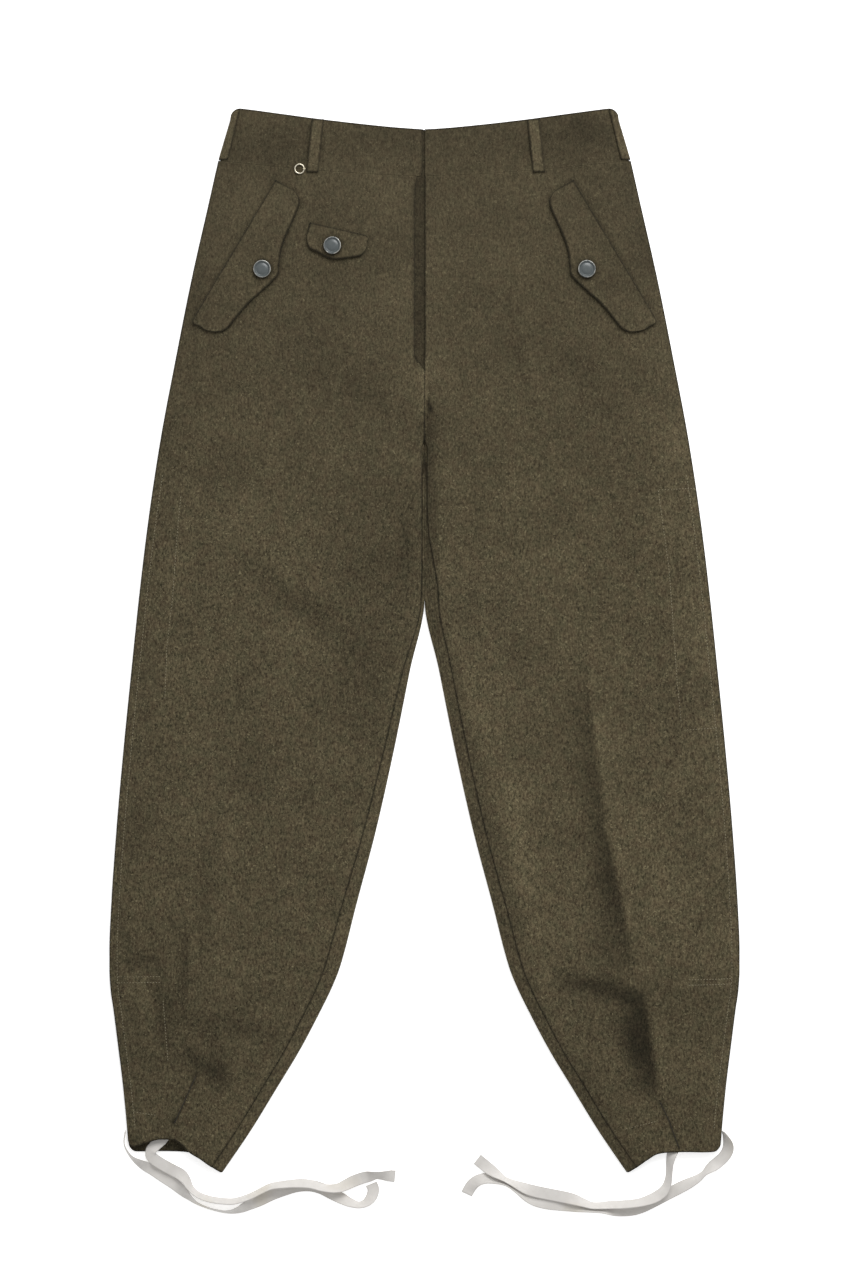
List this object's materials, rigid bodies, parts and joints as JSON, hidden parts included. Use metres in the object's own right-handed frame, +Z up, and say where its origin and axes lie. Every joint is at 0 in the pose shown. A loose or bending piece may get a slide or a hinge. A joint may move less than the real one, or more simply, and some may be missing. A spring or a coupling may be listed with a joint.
{
  "type": "paratrooper trousers",
  "caption": "Full-cut wool jump trousers laid flat, front up, with flapped pockets, belt loops and cotton tie tapes at tapered ankles.",
  "frame": {"origin": "on the surface the trousers lie on, under the middle of their length and width without the ankle tapes", "axes": "+X to the wearer's left, +Y from the ankles to the waist, +Z up out of the front of the trousers"},
  "size_m": [0.65, 1.1423, 0.0202],
  "materials": {
    "wool_cloth": "napped wool twill in field grey-brown, melange with pale flecks",
    "button_metal": "dished button in worn blue-grey paint with a bright rim",
    "ring_metal": "dull nickelled brass wire",
    "thread": "pale cotton thread",
    "cotton_tape": "flat woven grey-white cotton tape"
  },
  "bodies": {
    "trousers": {"back_left": "wool_cloth", "back_right": "wool_cloth", "front_left": "wool_cloth", "front_right": "wool_cloth", "waistband_front_left": "wool_cloth", "waistband_front_right": "wool_cloth", "waistband_back": "wool_cloth", "fly_underlap": "wool_cloth", "belt_loop_front_left": "wool_cloth", "belt_loop_front_right": "wool_cloth", "belt_loop_side_left": "wool_cloth", "belt_loop_side_right": "wool_cloth", "hip_flap_left": "wool_cloth", "hip_flap_right": "wool_cloth", "watch_flap": "wool_cloth", "hip_button_left": "button_metal", "hip_button_right": "button_metal", "watch_button": "button_metal", "ring_tack": "thread", "ankle_tape_right_outer": "cotton_tape", "ankle_tape_right_inner": "cotton_tape", "ankle_tape_left_outer": "cotton_tape", "ankle_tape_left_inner": "cotton_tape"},
    "watch_ring": {"watch_ring": "ring_metal"}
  },
  "joints": [
    {"name": "watch_ring_swing", "type": "hinge", "parent": "trousers", "child": "watch_ring", "pos_m": [-0.12385, 0.4849, 0.01386], "axis": [0, 1, 0], "range_deg": [0, 140]}
  ]
}
